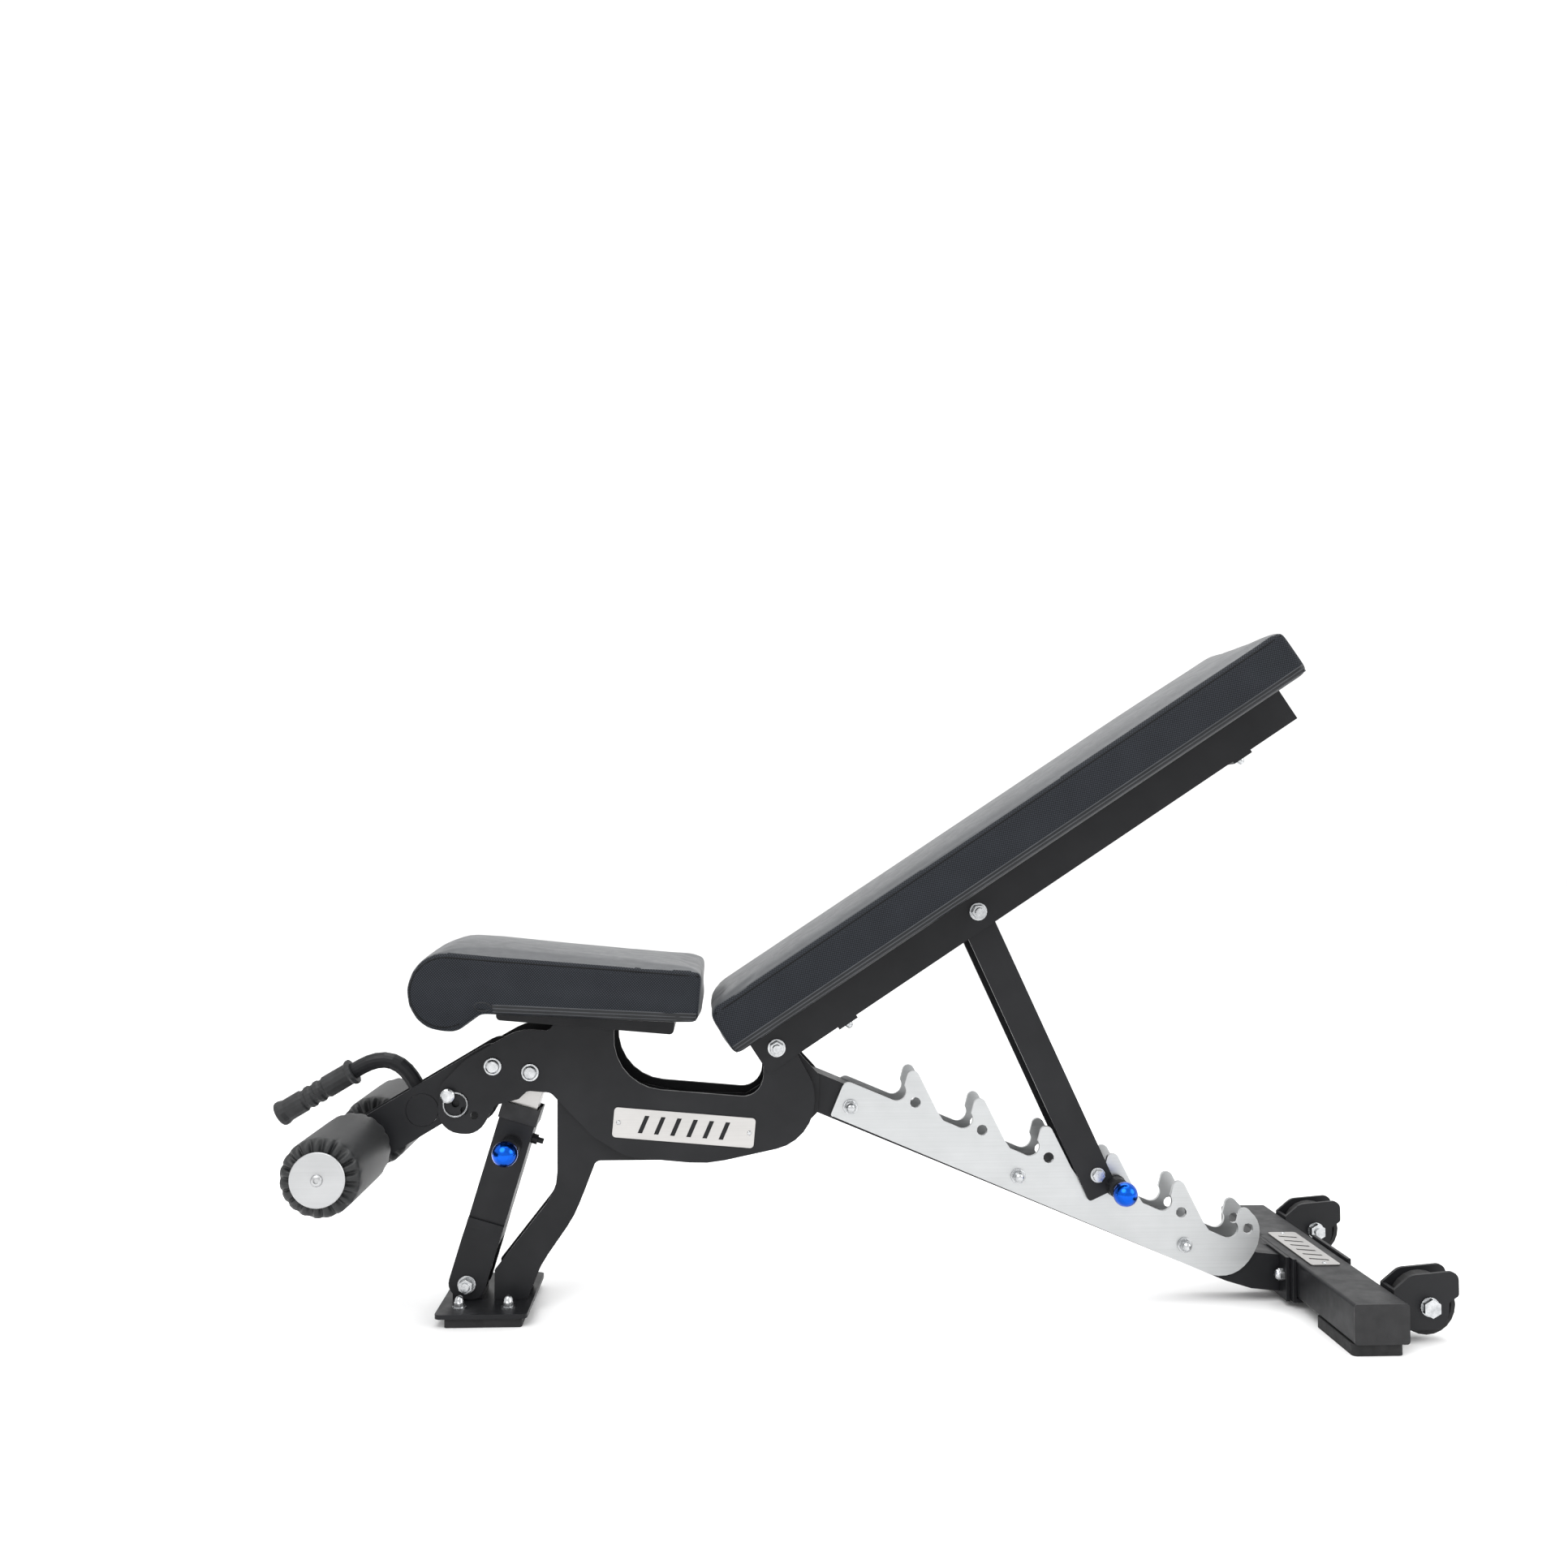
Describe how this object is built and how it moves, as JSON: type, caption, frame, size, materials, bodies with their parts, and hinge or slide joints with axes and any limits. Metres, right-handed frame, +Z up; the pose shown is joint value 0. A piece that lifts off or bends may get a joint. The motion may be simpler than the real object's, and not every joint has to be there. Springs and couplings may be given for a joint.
{
  "type": "decline sit up bench",
  "caption": "Adjustable decline sit-up bench with leg rollers on an arm, a notched ladder for the backrest strut, a tilting seat and transport wheels.",
  "frame": {"origin": "centre of the footprint at floor level", "axes": "+Z up, +X from the leg rollers towards the wheels, -Y the side with the knobs"},
  "size_m": [1.5572, 0.481, 0.9241],
  "materials": {
    "powder_coat": "satin black powder coat",
    "brushed_steel": "brushed, clear",
    "zinc": "bright zinc plate",
    "blue_anodised": "glossy blue anodised",
    "vinyl_pad": "charcoal vinyl with a woven texture on its sides",
    "roller_cover": "gathered black fabric over foam",
    "rubber": "matte",
    "plastic": "matte"
  },
  "bodies": {
    "frame": {"foot_plate": "powder_coat", "foot_pad": "rubber", "post_lug": "powder_coat", "post_foot_bolt": "zinc", "leg_plate_left": "powder_coat", "leg_plate_right": "powder_coat", "leg_web": "powder_coat", "hinge_bolt": "zinc", "spine_tube": "powder_coat", "ladder_left": "brushed_steel", "ladder_right": "brushed_steel", "ladder_bolt_1": "zinc", "ladder_bolt_2": "zinc", "ladder_bolt_3": "zinc", "spine_flange": "powder_coat", "stabilizer_cradle": "powder_coat", "cradle_bolt_left": "zinc", "cradle_bolt_right": "zinc", "stabilizer_tube": "powder_coat", "stabilizer_cap_left": "plastic", "stabilizer_cap_right": "plastic", "stabilizer_foot_left": "rubber", "stabilizer_foot_right": "rubber", "stabilizer_badge": "brushed_steel", "wheel_bracket_left": "powder_coat", "wheel_bracket_right": "powder_coat", "wheel_axle_left": "zinc", "wheel_axle_right": "zinc"},
    "seat": {"side_plate_left": "powder_coat", "side_plate_right": "powder_coat", "seat_bracket": "powder_coat", "seat_pad": "vinyl_pad", "side_badge": "brushed_steel", "arm_pivot_bolt": "zinc", "post_top_bolt": "zinc"},
    "hitch": {"hitch_pin": "zinc", "hitch_ring": "zinc"},
    "post": {"post_clevis": "powder_coat", "post_outer_tube": "powder_coat", "post_collar": "plastic"},
    "post_inner": {"post_inner_tube": "brushed_steel"},
    "post_latch": {"post_pin": "blue_anodised"},
    "arm": {"arm_plate_left": "powder_coat", "arm_plate_right": "powder_coat", "handle_bar": "powder_coat", "handle_grip": "rubber", "roller_axle": "zinc", "roller_cap_left": "brushed_steel", "roller_cap_right": "brushed_steel"},
    "roller_left": {"roller_left": "roller_cover"},
    "roller_right": {"roller_right": "roller_cover"},
    "back": {"back_channel": "powder_coat", "back_pad": "vinyl_pad", "strut_bolt": "zinc"},
    "strut": {"strut_channel": "powder_coat", "strut_pin": "zinc"},
    "strut_latch": {"lock_pin": "blue_anodised"},
    "wheel_left": {"wheel_left": "rubber"},
    "wheel_right": {"wheel_right": "rubber"}
  },
  "joints": [
    {"name": "seat_tilt", "type": "hinge", "parent": "frame", "child": "seat", "pos_m": [-0.08816, 0, 0.3585], "axis": [0, 1, 0], "range_deg": [-5, 10]},
    {"name": "arm_swing", "type": "hinge", "parent": "seat", "child": "arm", "pos_m": [-0.47268, 0, 0.33492], "axis": [0, 1, 0], "range_deg": [-33, 0]},
    {"name": "roller_left_spin", "type": "hinge", "parent": "arm", "child": "roller_left", "pos_m": [-0.6543, -0.14, 0.22752], "axis": [0, 1, 0], "continuous": true},
    {"name": "roller_right_spin", "type": "hinge", "parent": "arm", "child": "roller_right", "pos_m": [-0.6543, 0.14, 0.22752], "axis": [0, 1, 0], "continuous": true},
    {"name": "hitch_pull", "type": "slide", "parent": "seat", "child": "hitch", "axis": [0, -1, 0], "range_m": [0, 0.012]},
    {"name": "post_swing", "type": "hinge", "parent": "frame", "child": "post", "pos_m": [-0.50736, 0, 0.0395], "axis": [0, 1, 0], "range_deg": [-3.4, 1.7]},
    {"name": "post_extend", "type": "slide", "parent": "post", "child": "post_inner", "axis": [0.2857, 0, 0.9583], "range_m": [-0.0277, 0.0555]},
    {"name": "post_latch_pull", "type": "slide", "parent": "post", "child": "post_latch", "axis": [0, -1, 0], "range_m": [0, 0.01], "stiffness_N_per_m": 800, "springref_m": -0.004},
    {"name": "back_recline", "type": "hinge", "parent": "frame", "child": "back", "pos_m": [-0.08816, 0, 0.3585], "axis": [0, -1, 0], "range_deg": [0, 42]},
    {"name": "strut_swing", "type": "hinge", "parent": "back", "child": "strut", "pos_m": [0.18866, 0, 0.54305], "axis": [0, -1, 0], "range_deg": [-39, 0]},
    {"name": "strut_latch_pull", "type": "slide", "parent": "strut", "child": "strut_latch", "axis": [0, -1, 0], "range_m": [0, 0.01], "stiffness_N_per_m": 800, "springref_m": -0.004},
    {"name": "wheel_left_spin", "type": "hinge", "parent": "frame", "child": "wheel_left", "pos_m": [0.73964, -0.1775, 0.047], "axis": [0, 1, 0], "continuous": true},
    {"name": "wheel_right_spin", "type": "hinge", "parent": "frame", "child": "wheel_right", "pos_m": [0.73964, 0.1775, 0.047], "axis": [0, 1, 0], "continuous": true}
  ],
  "couplings": [
    {"joint": "post_swing", "follows": "seat_tilt", "ratio": -0.33},
    {"joint": "post_extend", "follows": "seat_tilt", "m_per_rad": 0.31513},
    {"joint": "strut_swing", "follows": "back_recline", "ratio": -0.9}
  ]
}
